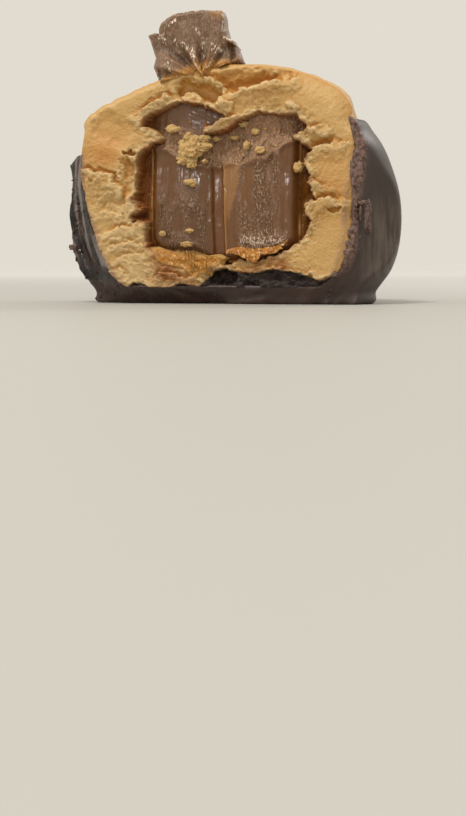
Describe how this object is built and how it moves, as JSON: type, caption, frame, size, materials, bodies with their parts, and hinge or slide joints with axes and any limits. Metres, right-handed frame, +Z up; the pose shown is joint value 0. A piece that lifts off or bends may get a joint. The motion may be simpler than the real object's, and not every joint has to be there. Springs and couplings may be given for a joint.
{
  "type": "salted caramel candy",
  "caption": "Cut candy standing on its flat foot: soft caramel in peanut butter dough, dipped in dark chocolate to its shoulders, with a torn caramel scrap on the bare dome.",
  "frame": {"origin": "middle of the candy's box, on the flat foot", "axes": "+Z up, the cut face towards -Y, +X across the cut face"},
  "size_m": [0.0408, 0.0241, 0.035],
  "materials": {
    "dark_chocolate": "satin dark chocolate",
    "peanut_butter_dough": "matt crumbly dough, smeared smooth where the knife drew over it",
    "soft_caramel": "satin soft caramel with knife streaks",
    "torn_caramel": "glossy torn caramel"
  },
  "bodies": {
    "root": {"chocolate_coat": "dark_chocolate", "peanut_butter_dough": "peanut_butter_dough", "caramel_centre": "soft_caramel", "caramel_scrap": "torn_caramel"}
  },
  "joints": []
}
